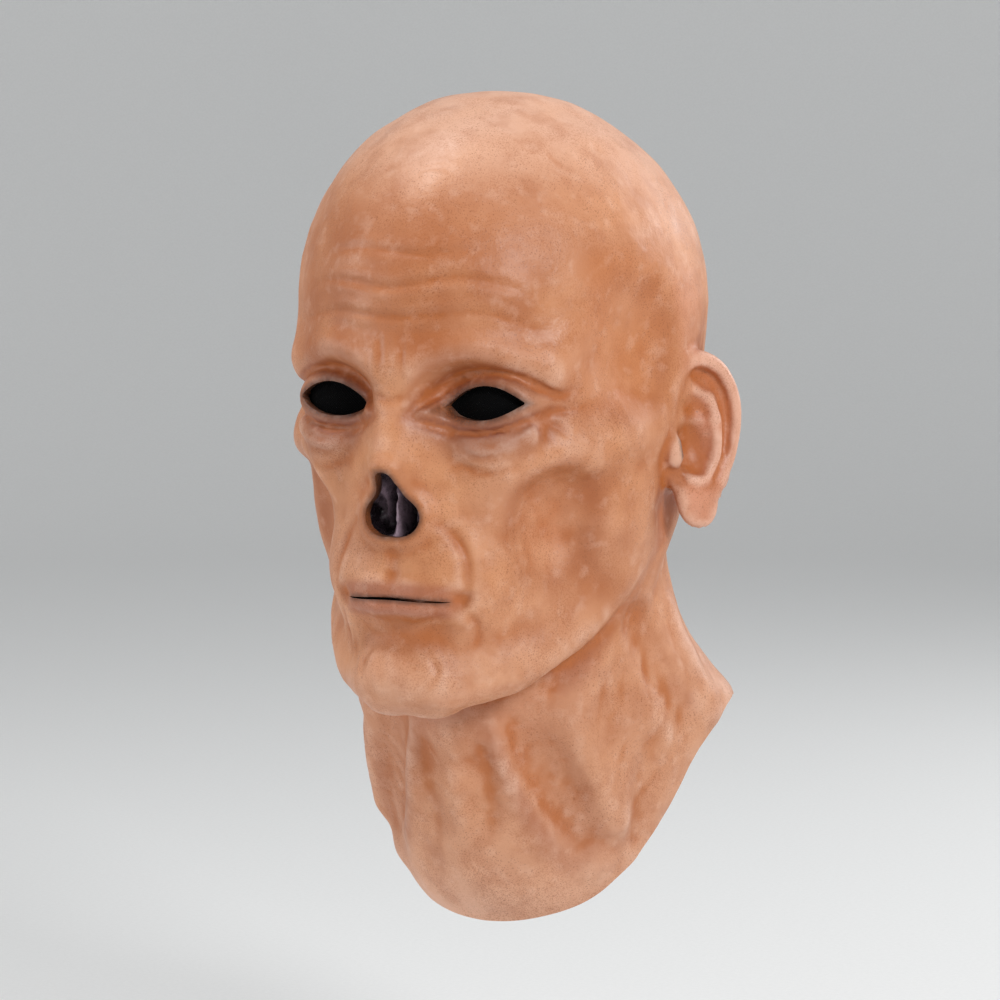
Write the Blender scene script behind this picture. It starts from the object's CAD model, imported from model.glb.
"""The looks of an overhead latex mask: a sculpted skin, its soft fittings, their paint, light and camera.

The sculpt is a signed distance in design millimetres, along the frame's axes: the face looks along -Y and
the wearer's left is +X. MM is one design millimetre in metres, taken from the frame, and every mesh is
turned to metres on its way into Blender. The head and neck follow the same rings as the CAD skin.
"""

import bmesh
import bpy
import math
import numpy as np
import openvdb
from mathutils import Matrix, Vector
from mathutils.bvhtree import BVHTree


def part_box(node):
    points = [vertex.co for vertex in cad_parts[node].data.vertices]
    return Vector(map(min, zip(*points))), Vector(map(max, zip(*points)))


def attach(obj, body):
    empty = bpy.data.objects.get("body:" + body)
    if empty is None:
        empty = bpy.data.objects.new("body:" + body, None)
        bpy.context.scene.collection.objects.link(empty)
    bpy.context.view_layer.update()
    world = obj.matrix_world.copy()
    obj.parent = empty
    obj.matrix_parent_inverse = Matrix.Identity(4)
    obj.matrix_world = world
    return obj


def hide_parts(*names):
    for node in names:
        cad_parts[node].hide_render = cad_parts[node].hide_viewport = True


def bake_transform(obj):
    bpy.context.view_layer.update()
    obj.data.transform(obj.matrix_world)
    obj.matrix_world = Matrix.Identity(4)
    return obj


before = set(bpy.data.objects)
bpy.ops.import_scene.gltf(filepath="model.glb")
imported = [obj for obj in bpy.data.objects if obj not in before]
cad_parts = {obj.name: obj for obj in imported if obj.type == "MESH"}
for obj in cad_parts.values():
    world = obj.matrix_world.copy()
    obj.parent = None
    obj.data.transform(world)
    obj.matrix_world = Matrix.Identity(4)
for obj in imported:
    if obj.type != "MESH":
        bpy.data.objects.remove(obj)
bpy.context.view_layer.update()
skin_low, skin_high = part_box("mask_skin")

DESIGN_HEIGHT = 357.5  # hem to crown in design millimetres
MM = (skin_high.z - skin_low.z) / DESIGN_HEIGHT

# --- Resolution
OUTER_STEP = 3.15  # voxels of the outer skin, whose detailed faces are then quartered
INNER_STEP = 4.0
EDGE = OUTER_STEP / 2

# --- Head and neck, as (height, half breadth, front, back, egg)
LINING_DEPTH = 2.3  # a little over the wall, so that no wrinkle breaks through it
GLUE = 0.2
MIDLINE = 1.6  # how softly the two mirrored halves meet
CROWN_Z = 358.0
DOME_Z = 268.0
CHIN_Z = 103.0
HEAD_STATIONS = [
    (106, 16, -92, -68, 0.0),
    (113, 31, -98, -42, 0.1),
    (124, 43, -98, -12, 0.15),
    (138, 53, -95, 18, 0.15),
    (152, 60, -97, 42, 0.14),
    (176, 70, -98, 66, 0.1),
    (205, 77, -99, 84, 0.08),
    (231, 82, -99, 95, 0.08),
    (252, 84, -103, 99, 0.08),
    (DOME_Z, 85, -103, 100, 0.08),
]
NECK_STATIONS = [
    (-12, 36, -4, 62, 0.05),
    (0, 44, -12, 68, 0.05),
    (14, 52, -24, 78, 0.05),
    (30, 59, -33, 88, 0.08),
    (50, 68, -41, 97, 0.14),
    (70, 75, -47, 104, 0.22),
    (95, 82, -52, 108, 0.3),
    (108, 76, -52, 100, 0.24),
    (124, 70, -51, 90, 0.14),
    (150, 66, -48, 80, 0.06),
    (185, 65, -45, 77, 0.0),
    (220, 58, -38, 72, 0.0),
]
NECK_TOP_Z = 206.0  # hidden inside the head
HEM = [(-60, -2), (-12, 0), (8, 6), (20, 22), (28, 44), (36, 69), (46, 87), (60, 93.5), (85, 89), (125, 76)]

# --- Textbook proportions
EYE_Z = (CHIN_Z + CROWN_Z) / 2
THIRD = (CROWN_Z - CHIN_Z) / 3.5
NOSE_BASE_Z = CHIN_Z + THIRD
MOUTH_Z = NOSE_BASE_Z - THIRD / 3
EYE_WIDTH = 34.0
EYE_X = EYE_WIDTH
MOUTH_HALF = 23.0
SLIT_TOP_Z = 205.0
SLIT_EYE_RADIUS = 3.0
SLIT_HALF = 0.5  # how far each side of the rear slit stands off its middle
LIPS_APART, LINING_APART = 0.6, 1.6  # the same for the lips, outside and inside
NECK_ROUNDING, EAR_ROUNDING = 14, 4  # where neck and ears join the head


def smin(a, b, k):
    """The lesser of two distances, rounded over k."""
    h = np.clip(k - np.abs(a - b), 0, None) / k
    return np.minimum(a, b) - h * h * k / 4


def smax(a, b, k):
    """The greater of two distances, rounded over k."""
    return -smin(-a, -b, k)


def step01(x, low, high):
    """0 below low, 1 above high and smooth between."""
    t = np.clip((x - low) / (high - low), 0, 1)
    return t * t * (3 - 2 * t)


def fall(x, low, high):
    """1 below low, 0 above high and smooth between."""
    return 1 - step01(x, low, high)


def between(x, low, start, end, high):
    """1 from start to end, 0 outside low to high and smooth between."""
    return step01(x, low, start) * fall(x, end, high)


def dense(stations, step=0.5):
    """The stations' rows at every step of height, on cubics through them."""
    table = np.array(stations, float)
    z = np.arange(table[0, 0], table[-1, 0] + step / 2, step)
    slope = np.gradient(table, table[:, 0], axis=0)
    i = np.clip(np.searchsorted(table[:, 0], z, side="right") - 1, 0, len(table) - 2)
    span = (table[i + 1, 0] - table[i, 0])[:, None]
    t = (z[:, None] - table[i, :1]) / span
    rows = (2 * t**3 - 3 * t**2 + 1) * table[i] + (t**3 - 2 * t**2 + t) * slope[i] * span
    rows += (3 * t**2 - 2 * t**3) * table[i + 1] + (t**3 - t**2) * slope[i + 1] * span
    rows[:, 0] = z
    return rows


HEAD_ROWS = dense(HEAD_STATIONS)
NECK_ROWS = dense(NECK_STATIONS)


def ring_at(z, rows):
    """Half breadth, middle, reach and egg of the ring at each height."""
    half, front, back, egg = (np.interp(z, rows[:, 0], rows[:, k]) for k in range(1, 5))
    return half, (front + back) / 2, (back - front) / 2, egg


def radial(q, z, rows):
    """Distance outwards from the ring at height z, along the ring's own radius."""
    half, middle, reach, egg = ring_at(z, rows)
    v = (q[:, 1] - middle) / reach
    u = q[:, 0] / (half * (1 + egg * np.clip(v, -1, 1)))
    f = np.maximum(np.hypot(u, v), 1e-3)
    return np.hypot(q[:, 0], q[:, 1] - middle) * (f - 1) / f


def stacked(q, rows):
    """Distance from a stack of rings, eased where the stack slopes."""
    z = q[:, 2]
    here = radial(q, z, rows)
    slope = (radial(q, z + 1, rows) - radial(q, z - 1, rows)) / 2
    return here / np.sqrt(1 + np.clip(slope, -3, 3) ** 2)


def head_base(q):
    """The skull and face before any feature."""
    half, middle, reach, egg = ring_at(DOME_Z, HEAD_ROWS)
    d = stacked(q, HEAD_ROWS)
    over = q[:, 2] > DOME_Z
    p = q[over] - (0, middle, DOME_Z)
    v = p[:, 1] / reach
    u = p[:, 0] / (half * (1 + egg * np.clip(v, -1, 1)))
    f = np.maximum(np.sqrt(u**2 + v**2 + (p[:, 2] / (CROWN_Z - DOME_Z)) ** 2), 1e-3)
    d[over] = np.linalg.norm(p, axis=1) * (f - 1) / f
    return smax(d, HEAD_STATIONS[0][0] - 1 - q[:, 2], 10)


def neck_base(q):
    """The neck and bib before any feature and before the hem is trimmed."""
    return smax(stacked(q, NECK_ROWS), q[:, 2] - NECK_TOP_Z, 6)


def ring_under(z, rows):
    """The ring at z, shrunk as the dome closes above it."""
    half, middle, reach, egg = ring_at(min(z, DOME_Z), rows)
    shrink = math.sqrt(max(0.0, 1 - (max(0.0, z - DOME_Z) / (CROWN_Z - DOME_Z)) ** 2))
    return half * shrink, middle, reach * shrink, egg


def on_front(x, z, rows, lift=0.0):
    """The point of the form's front at x and z, lifted outwards along Y."""
    half, middle, reach, egg = ring_under(z, rows)
    v = -1.0
    for _ in range(30):
        v = -math.sqrt(max(0.0, 1 - (x / (half * (1 + egg * v))) ** 2))
    return np.array((x, middle + reach * v - lift, z), float)


def on_side(y, z, rows, lift=0.0):
    """The point of the form's side at y and z, lifted outwards along X."""
    half, middle, reach, egg = ring_under(z, rows)
    v = (y - middle) / reach
    return np.array((half * (1 + egg * v) * math.sqrt(max(0.0, 1 - v * v)) + lift, y, z), float)


def face(x, z, lift=0.0):
    """A point on the face before its features."""
    return on_front(x, z, HEAD_ROWS, lift)


def flank(y, z, lift=0.0):
    """A point on the side of the head before its features."""
    return on_side(y, z, HEAD_ROWS, lift)


def throat(x, z, lift=0.0):
    """A point on the front of the neck."""
    return on_front(x, z, NECK_ROWS, lift)


def neck_side(y, z, lift=0.0):
    """A point on the side of the neck."""
    return on_side(y, z, NECK_ROWS, lift)


# --- Shapes: each is (lowest corner, highest corner, distance)
def ball(centre, radii):
    """An ellipsoid."""
    centre, radii = np.array(centre, float), np.array(radii, float)

    def distance(q):
        p = (q - centre) / radii
        f = np.linalg.norm(p, axis=1)
        return f * (f - 1) / np.maximum(np.linalg.norm(p / radii, axis=1), 1e-6)

    return centre - radii, centre + radii, distance


def rod(points, radii):
    """A bent rod through points, with a radius at each."""
    points = np.array(points, float)
    radii = np.array(radii, float)

    def distance(q):
        best = np.full(len(q), 1e9)
        for a, b, ra, rb in zip(points[:-1], points[1:], radii[:-1], radii[1:]):
            t = np.clip((q - a) @ (b - a) / ((b - a) @ (b - a)), 0, 1)
            off = np.linalg.norm(q - a - t[:, None] * (b - a), axis=1)
            best = np.minimum(best, off - ra - (rb - ra) * t)
        return best

    reach = radii.max()
    return points.min(0) - reach, points.max(0) + reach, distance


def smooth_rod(points, radii, per_span=6):
    """A rod along a smooth curve through points."""
    table = np.column_stack((np.arange(len(points)), np.array(points, float), np.array(radii, float)))
    rows = dense(table, 1 / per_span)
    return rod(rows[:, 1:4], rows[:, 4])


ADD, CUT = 1, -1


def features():
    """Face and neck, as (add or cut, rounding, shape), each on the wearer's left and mirrored."""
    return [
        # brow and temple
        (ADD, 10, ball(face(0, 248, -7), (14, 8, 9))),
        (ADD, 9, smooth_rod([face(9, 245, -5), face(30, 250, -4.5), face(52, 246, -5)], [7, 8, 6])),
        (ADD, 12, rod([face(53, 247, -6.5), flank(-50, 262, -8)], [6, 4])),
        (CUT, 18, ball(flank(-40, 250, 9), (15, 26, 27))),
        # eyes
        (CUT, 9, ball((35, -103, 231.5), (23.5, 23, 18))),
        (ADD, 6, ball((34, -76.5, EYE_Z - 0.5), (19, 14.5, 15))),
        (ADD, 7, smooth_rod([(17, -88, 219.5), (33, -90, 213.5), (50, -81.5, 219)], [3.5, 4.6, 3.5])),
        # cheekbones and hollow cheeks
        (ADD, 14, smooth_rod([face(38, 206, -7), face(60, 211, -7.5), flank(-34, 216, -6.5)], [8, 9, 7])),
        (ADD, 12, rod([flank(-34, 216, -6.5), flank(-12, 217, -6)], [7, 5])),
        (CUT, 18, ball(face(58, 178, 8), (15, 18, 21))),
        # nose
        (ADD, 8, smooth_rod([(0, -96, 243), (0, -99.5, 226), (0, -104, 209)], [6.5, 7, 8.5])),
        (ADD, 9, ball((0, -92, 212), (16, 15, 25))),
        (ADD, 8, ball((0, -90, 184), (21, 13, 15))),
        # mouth and chin
        (ADD, 14, ball((0, -80.5, 158), (36, 21.5, 26))),
        (CUT, 3, smooth_rod([(0, -106.6, 172), (0, -107.2, 160)], [3.2, 4.2])),
        (ADD, 3.5, smooth_rod([(0, -100.2, 156), (10, -99.4, 157.2), (23, -93, 152.6)], [3.9, 3.7, 1.8])),
        (ADD, 3.5, smooth_rod([(0, -99.4, 147), (10, -98.4, 147.4), (22, -93, 151)], [4.8, 4.3, 1.8])),
        (CUT, 5, ball((27.5, -97.5, MOUTH_Z), (3.0, 5, 3.2))),
        (CUT, 8, smooth_rod([(0, -105, 136.5), (17, -99.5, 137.5)], [6, 4.5])),
        (ADD, 9, ball((0, -87.5, 118), (20, 13.5, 14))),
        # jaw
        (ADD, 12, smooth_rod([(63, -4, 168), (55, -30, 142), (38, -62, 123), (13, -86, 113)],
                             [7, 8.5, 9, 8])),
        (ADD, 16, ball((61, -20, 182), (10.5, 18, 26))),
        # neck
        (ADD, 12, smooth_rod([(64, 22, 180), neck_side(-10, 128, -7), throat(46, 97, -5.4),
                              throat(50, 72, -5.4), throat(54, 48, -7)], [8.5, 8, 6.5, 6, 4.5])),
        (ADD, 9, smooth_rod([throat(14, 96, -6.5), throat(18, 86, -4), throat(28, 62, -3.2),
                             throat(36, 42, -5.2), throat(43, 28, -10)], [4.5, 6, 6, 6, 5])),
        (CUT, 14, smooth_rod([throat(33, 88, 7.6), throat(41, 60, 6), throat(47, 36, 8.4)], [7, 9.5, 6])),
        (CUT, 10, smooth_rod([neck_side(3, 78, 6), neck_side(8, 56, 4.6), neck_side(12, 36, 6)],
                             [4.5, 5, 4])),
        (CUT, 9, smooth_rod([neck_side(-3, 134, 6), neck_side(10, 107, 4.8), neck_side(22, 82, 5.8)],
                            [6, 7, 5])),
        (ADD, 7, smooth_rod([neck_side(31, 136, -5), neck_side(35, 110, -4.2), neck_side(40, 90, -5)],
                            [4.5, 5, 4])),
        (CUT, 12, smooth_rod([throat(9, 92, 7), throat(11, 70, 6), throat(12, 48, 7)], [5, 6.5, 5])),
        (ADD, 10, ball((0, -45, 97), (11.5, 12, 15))),
        (ADD, 9, smooth_rod([(0, -41, 90), (0, -32, 60), (0, -19, 28)], [10, 9, 6])),
    ]


# --- Ear, in its own axes: back along the rim, up, and out of the plate
EAR_ROOT = np.array((79.0, -2.0, NOSE_BASE_Z))
EAR_FLARE = math.radians(30)
EAR_LEAN = math.radians(9)
EAR_BACK = np.array((math.sin(EAR_FLARE), math.cos(EAR_FLARE), 0))
EAR_UP = np.array((0, math.sin(EAR_LEAN), math.cos(EAR_LEAN)))
EAR_OUT = np.cross(EAR_BACK, EAR_UP)
EAR_OUT /= np.linalg.norm(EAR_OUT)
EAR_AXES = np.array((EAR_BACK, EAR_UP, EAR_OUT))
CANAL = (6.5, 33.0)  # the ear canal, back and up


def ear_shapes():
    """The ear, as (add or cut, rounding, shape)."""
    helix = [(7, 33, -1), (2, 40, 1), (-1, 50, 3), (2, 61, 3.6), (10, 68.5, 3.4), (20, 71, 3), (30, 67, 2.4),
             (36, 57, 1.8), (37, 46, 1.2), (34.5, 34, 0.8), (30, 24, 0.4), (24, 15, 0)]
    return [
        (ADD, 4, ball((18, 39, -1.5), (20, 32, 3.6))),
        (ADD, 6, ball((11, 34, -8), (14, 18, 9))),
        (ADD, 3, ball((16, 11, 0), (10.5, 11.5, 4.3))),
        (ADD, 2.5, smooth_rod(helix, [2.0, 2.6, 3.2, 3.6, 3.7, 3.6, 3.5, 3.3, 3.1, 2.9, 2.8, 2.6])),
        (ADD, 3, smooth_rod([(24, 55, 0.5), (26, 45, 1.5), (25, 33, 1.8), (19, 22, 1.6)],
                            [3.0, 3.3, 3.2, 3.0])),
        (ADD, 3, smooth_rod([(12, 60, 0.4), (20, 55, 0.8), (25, 47, 1.2)], [2.2, 2.4, 2.8])),
        (ADD, 3, ball((14, 20.5, 2.4), (4.6, 3.6, 3.4))),
        (CUT, 3, ball((13.5, 34, 5), (9.5, 12.5, 9))),
        (CUT, 3, ball((14, 50, 5.5), (9, 5.5, 6.5))),
        (CUT, 2, smooth_rod([(15, 64, 4), (27, 60, 4), (31.5, 48, 3.4), (30, 34, 3)], [2.2, 2.6, 2.4, 1.6])),
        (ADD, 3, ball((2.5, 31, 2.6), (4.8, 7, 3.8))),
    ]


def combine(d, q, shapes, margin=12.0):
    """Adds and cuts shapes, each only near its own box."""
    for kind, k, (low, high, distance) in shapes:
        near = np.all((q > low - k - margin) & (q < high + k + margin), axis=1)
        part = distance(q[near])
        d[near] = smin(d[near], part, k) if kind == ADD else smax(d[near], -part, k)
    return d


FEATURES = features()
EAR_SHAPES = ear_shapes()


def bare_head(points):
    """The head and neck without ears."""
    q = np.column_stack((np.hypot(points[:, 0], MIDLINE), points[:, 1:]))
    return combine(smin(head_base(points), neck_base(points), NECK_ROUNDING), q, FEATURES)


def mirrored(q):
    """Points taken to the wearer's left."""
    return np.column_stack((np.abs(q[:, 0]), q[:, 1:]))


def in_ear(q):
    """Points in the ear's own axes."""
    return (mirrored(q) - EAR_ROOT) @ EAR_AXES.T


def whole_head(points):
    """The head and neck with ears."""
    d = bare_head(points)
    local = in_ear(points)
    near = np.all((local > (-34, -30, -44)) & (local < (68, 104, 38)), axis=1)
    ear = combine(np.full(near.sum(), 60.0), local[near], EAR_SHAPES, margin=60.0)
    d[near] = smin(d[near], ear, EAR_ROUNDING)
    return d


# --- Mesh work
def surface(field, low, high, step):
    """Quads on a field's zero level, inside a box."""
    axes = [np.arange(a, b + step, step) for a, b in zip(low, high)]
    lattice = np.stack(np.meshgrid(*axes, indexing="ij"), -1)
    values = field(lattice.reshape(-1, 3)).reshape(lattice.shape[:3])
    grid = openvdb.FloatGrid(100.0)
    grid.copyFromArray(np.ascontiguousarray(values, dtype=np.float32))
    points, quads = grid.convertToQuads(0.0)
    points = np.array(points, float) * step + np.array(low)
    quads = np.array(quads, int)
    middle = points[quads].mean(1)
    a, b = points[quads[:, 2]] - points[quads[:, 0]], points[quads[:, 3]] - points[quads[:, 1]]
    outwards = field(middle + np.cross(a, b) * 0.02) - field(middle)
    return points, quads if np.median(outwards) > 0 else quads[:, ::-1]


def refined(points, quads, chosen):
    """Triangles from quads: the chosen quads are quartered, and their neighbours fan out to meet them."""
    edges = np.stack((quads, np.roll(quads, -1, axis=1)), -1)
    keys = np.sort(edges.reshape(-1, 2), axis=1)
    unique, index = np.unique(keys, axis=0, return_inverse=True)
    index = index.reshape(-1, 4)
    halved = np.zeros(len(unique), bool)
    halved[index[chosen]] = True
    middle = np.cumsum(halved) - 1 + len(points)
    touched = halved[index].any(1)
    centre = np.cumsum(touched) - 1 + len(points) + halved.sum()
    new = np.concatenate((points, points[unique[halved]].mean(1), points[quads[touched]].mean(1)))
    parts = [triangles(new, quads[~touched])]
    for k in range(4):
        small = np.stack((quads[:, k], middle[index[:, k]], centre, middle[index[:, k - 1]]), -1)
        parts.append(triangles(new, small[chosen]))
        beside = touched & ~chosen
        parted = beside & halved[index[:, k]]
        straight = beside & ~halved[index[:, k]]
        after = quads[:, (k + 1) % 4]
        parts.append(np.stack((quads[:, k], middle[index[:, k]], centre), -1)[parted])
        parts.append(np.stack((middle[index[:, k]], after, centre), -1)[parted])
        parts.append(np.stack((quads[:, k], after, centre), -1)[straight])
    return new, np.concatenate(parts)


def gradient(field, points, width=0.4):
    """The field's gradient at points."""
    here = field(points)
    slopes = [field(points + width * axis) - here for axis in np.eye(3)]
    return here, np.stack(slopes, -1) / width


def settled(points, field, times=3):
    """Points moved onto the field's zero level."""
    for _ in range(times):
        value, slope = gradient(field, points)
        move = value / np.maximum((slope**2).sum(1), 0.05)
        points = points - np.clip(move, -2, 2)[:, None] * slope
    return points


def links(quads):
    """Both ends of every edge, in both directions."""
    pairs = np.stack((quads, np.roll(quads, -1, axis=1)), -1).reshape(-1, 2)
    return np.concatenate((pairs, pairs[:, ::-1]))


def averaged(values, pairs):
    """Each vertex's mean over its neighbours."""
    first, second = pairs.T
    count = np.bincount(first, minlength=len(values))
    columns = [np.bincount(first, column, len(values)) for column in values[second].T]
    return np.stack(columns, -1) / np.maximum(count, 1)[:, None]


def relaxed(points, quads, field, times):
    """Points spread evenly over the field's surface."""
    pairs = links(quads)
    for _ in range(times):
        points = settled(points * 0.4 + averaged(points, pairs) * 0.6, field, 1)
    return points


# --- Noise
RANDOM = np.random.default_rng(7)
SPOKES = RANDOM.normal(size=(4096, 3))
SPOKES /= np.linalg.norm(SPOKES, axis=1)[:, None]


def noise(q, size, seed=0):
    """Smooth gradient noise in about -1 to 1, with a feature size along each axis."""
    p = q / size + seed * 31.7
    cell = np.floor(p).astype(np.int64)
    f = p - cell
    u = f * f * f * (f * (f * 6 - 15) + 10)
    total = np.zeros(len(q))
    for corner in np.ndindex(2, 2, 2):
        i = cell + corner
        spoke = SPOKES[(i[:, 0] * 73856093 ^ i[:, 1] * 19349663 ^ i[:, 2] * 83492791) & 4095]
        weight = np.prod(np.where(corner, u, 1 - u), axis=1)
        total += weight * ((f - corner) * spoke).sum(1)
    return total * 1.6


def ridged(q, size, seed=0):
    """Creased noise: 1 along its crests and 0 in its valleys."""
    return 1 - np.clip(np.abs(noise(q, size, seed)) * 1.6, 0, 1)


# --- Openings: each field is negative inside its opening
FACE_Y = -58.0  # the openings of the face lie in front of this
LID_UP, LID_DOWN, LID_TILT = 8.2, 5.8, 1.4


def eye_gap(q):
    """The almond between the lids."""
    u = (np.abs(q[:, 0]) - EYE_X) / (EYE_WIDTH / 2)
    middle = EYE_Z + LID_TILT * u
    bow = 1 - u * u
    gap = np.maximum(q[:, 2] - middle - LID_UP * bow, middle - LID_DOWN * bow - q[:, 2])
    return np.maximum(gap / np.sqrt(1 + u * u), q[:, 1] - FACE_Y)


def nose_gap(q):
    """The pear of the open nasal cavity."""
    x, z = np.abs(q[:, 0]), q[:, 2]
    lobe = np.hypot(x - 5.0, z - 185.4) - 7.2
    rise = np.clip((z - 187) / 13.5, 0, 1)
    stem = np.hypot(x, z - 187 - 13.5 * rise) - 9.2 + 5.2 * rise
    return np.maximum(smin(lobe, stem, 4), q[:, 1] - FACE_Y)


def canal_gap(q):
    """The slit of an ear canal."""
    local = in_ear(q)
    oval = np.hypot((local[:, 0] - CANAL[0]) / 0.45, local[:, 1] - CANAL[1]) - 3.6
    return np.where(np.abs(local[:, 2]) < 40, oval * 0.5, 50.0)


HEM_ROWS = dense(HEM)


def above_hem(q):
    """Height above the hem, which rises to each side of the bib's point."""
    rise = 7 * (q[:, 0] / 38) ** 2 * (1 - step01(q[:, 1], 4, 34))
    return q[:, 2] - np.interp(q[:, 1], HEM_ROWS[:, 0], HEM_ROWS[:, 1]) - rise


def slit_end(q):
    """The round end of the rear slit."""
    return np.where(q[:, 1] > 20, np.hypot(q[:, 0], q[:, 2] - SLIT_TOP_Z) - SLIT_EYE_RADIUS, 50.0)


def mouth_line(q):
    """Height above the line between the lips."""
    return q[:, 2] - MOUTH_Z - 0.5 * np.cos(q[:, 0] * math.pi / MOUTH_HALF)


def at_mouth(q):
    """Which points are near enough to the mouth for its line to hold."""
    return (np.abs(q[:, 0]) < MOUTH_HALF + 6) & (q[:, 1] < -70) & (np.abs(q[:, 2] - 151) < 9)


def sculpt(points):
    """The whole outer form, with its lids and the rim of its nose."""
    d = whole_head(points)
    near = (points[:, 1] < FACE_Y) & (np.abs(points[:, 2] - 212) < 46) & (np.abs(points[:, 0]) < 62)
    p, here = points[near], d[near]
    gap = eye_gap(p)
    here = smin(here, np.hypot(gap - 1.7, here + 0.3) - 1.9, 2.5)
    above = step01(p[:, 2], EYE_Z + 1, EYE_Z + 6)
    here += 0.8 * above * np.exp(-((gap - 6.2) / 1.4) ** 2)
    here += 0.5 * (1 - above) * np.exp(-((gap - 5.4) / 1.4) ** 2)
    here = smin(here, np.hypot(nose_gap(p) - 1.9, here + 0.3) - 2.1, 4)
    d[near] = here
    return d


# --- Cutting and stitching
def triangles(points, quads):
    """Quads split along their shorter diagonal."""
    a, b, c, d = (points[quads[:, k]] for k in range(4))
    first = ((a - c) ** 2).sum(1) <= ((b - d) ** 2).sum(1)
    turned = np.where(first[:, None], quads, np.roll(quads, -1, axis=1))
    return np.concatenate((turned[:, [0, 1, 2]], turned[:, [0, 2, 3]]))


def normals_of(points, tris):
    """Unit vertex normals."""
    a, b, c = (points[tris[:, k]] for k in range(3))
    faces = np.cross(b - a, c - a)
    total = np.zeros_like(points)
    for k in range(3):
        for axis in range(3):
            total[:, axis] += np.bincount(tris[:, k], faces[:, axis], len(points))
    return total / np.maximum(np.linalg.norm(total, axis=1), 1e-12)[:, None]


def scored(points, tris, field, edge, inside=None):
    """The mesh split along a field's zero line, and each vertex's side of it, which is 0 on the line."""
    inside = np.ones(len(points), bool) if inside is None else inside(points)
    f, slope = gradient(field, points)
    normals = normals_of(points, tris)
    along = slope - (slope * normals).sum(1)[:, None] * normals
    steep = np.maximum((along**2).sum(1), 1e-4)
    near = inside & (np.abs(f) < 0.3 * edge * np.sqrt(steep))
    points = points.copy()
    points[near] -= (f[near] / steep[near])[:, None] * along[near]
    f = np.where(near, 0.0, f)
    mixed = (f[tris].max(1) > 0) & (f[tris].min(1) < 0)
    made, new, split = {}, [], []
    for tri in tris[mixed].tolist():
        ring = []
        start = None
        for a, b in zip(tri, tri[1:] + tri[:1]):
            ring.append(a)
            if f[a] * f[b] < 0 and inside[a] and inside[b]:
                key = (min(a, b), max(a, b))
                if key not in made:
                    t = f[key[0]] / (f[key[0]] - f[key[1]])
                    made[key] = len(points) + len(new)
                    new.append(points[key[0]] + t * (points[key[1]] - points[key[0]]))
                start = len(ring)
                ring.append(made[key])
        if start is not None:
            ring = ring[start:] + ring[:start]
        split += [(ring[0], ring[k], ring[k + 1]) for k in range(1, len(ring) - 1)]
    if new:
        points = np.concatenate((points, new))
        f = np.concatenate((f, np.zeros(len(new))))
    return points, np.concatenate((tris[~mixed], np.array(split, int).reshape(-1, 3))), f


def trimmed(points, tris, field, edge):
    """The part of the mesh where the field is above zero."""
    points, tris, f = scored(points, tris, field, edge)
    return tidied(points, tris[f[tris].max(1) > 0])


def tidied(points, tris):
    """The mesh without unused vertices."""
    used, index = np.unique(tris, return_inverse=True)
    return points[used], index.reshape(-1, 3)


def slit(points, tris, field, edge, inside, half_width):
    """Parts the mesh along a field's zero line, by half_width(points) to each side."""
    points, tris, f = scored(points, tris, field, edge, inside)
    width = half_width(points)
    parted = (f == 0) & (width > 0) & inside(points)
    below = f[tris].min(1) < 0
    copy = np.arange(len(points))
    copy[parted] = len(points) + np.arange(parted.sum())
    tris = tris.copy()
    tris[below] = copy[tris[below]]
    slope = gradient(field, points[parted])[1]
    shift = slope / np.linalg.norm(slope, axis=1)[:, None] * width[parted][:, None]
    lower = points[parted] - shift
    points = points.copy()
    points[parted] += shift
    return tidied(np.concatenate((points, lower)), tris)


def loops_of(tris):
    """The open edges as loops of vertices, each along its faces' own direction."""
    edges = np.concatenate([tris[:, [k, (k + 1) % 3]] for k in range(3)])
    key = edges[:, 0] * (tris.max() + 1) + edges[:, 1]
    back = edges[:, 1] * (tris.max() + 1) + edges[:, 0]
    after = dict(edges[~np.isin(key, back)].tolist())
    loops = []
    while after:
        first = next(iter(after))
        loop = [first]
        while (step := after.pop(loop[-1], None)) is not None and step != first:
            loop.append(step)
        loops.append(np.array(loop))
    return [loop for loop in loops if len(loop) > 4]


def stitched(points, outer, inner):
    """Triangles between two loops that run the same way round."""
    start = np.argmin(((points[inner] - points[outer[0]]) ** 2).sum(1))
    outer = np.append(outer, outer[0])
    inner = np.append(np.roll(inner, -start), inner[start])
    tris, i, j = [], 0, 0
    while i < len(outer) - 1 or j < len(inner) - 1:
        ahead = np.inf if i == len(outer) - 1 else ((points[outer[i + 1]] - points[inner[j]]) ** 2).sum()
        aside = np.inf if j == len(inner) - 1 else ((points[outer[i]] - points[inner[j + 1]]) ** 2).sum()
        if ahead <= aside:
            tris.append((outer[i + 1], outer[i], inner[j]))
            i += 1
        else:
            tris.append((inner[j], inner[j + 1], outer[i]))
            j += 1
    return tris


def opened(points, tris, edge, parting):
    """A closed skin with its hem, slit, eyes, nose, mouth and ear canals cut, and its lips parted."""
    points, tris = slit(points, tris, lambda q: q[:, 0] * 1.0, edge,
                        lambda q: (q[:, 1] > 20) & (q[:, 2] < SLIT_TOP_Z),
                        lambda q: np.full(len(q), SLIT_HALF))
    points, tris = slit(points, tris, mouth_line, edge, at_mouth,
                        lambda q: parting * np.sqrt(np.clip(1 - (q[:, 0] / MOUTH_HALF) ** 2, 0, 1)))
    for field in (above_hem, slit_end, eye_gap, nose_gap, canal_gap):
        points, tris = trimmed(points, tris, field, edge)
    return points, tris


# --- The skin's relief
def curve_2d(points, per_span=6):
    """A smooth line through points in a plane, with its distance along as 0 to 1."""
    table = np.column_stack((np.arange(len(points)), np.array(points, float)))
    return dense(table, 1 / per_span)[:, 1:]


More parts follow.
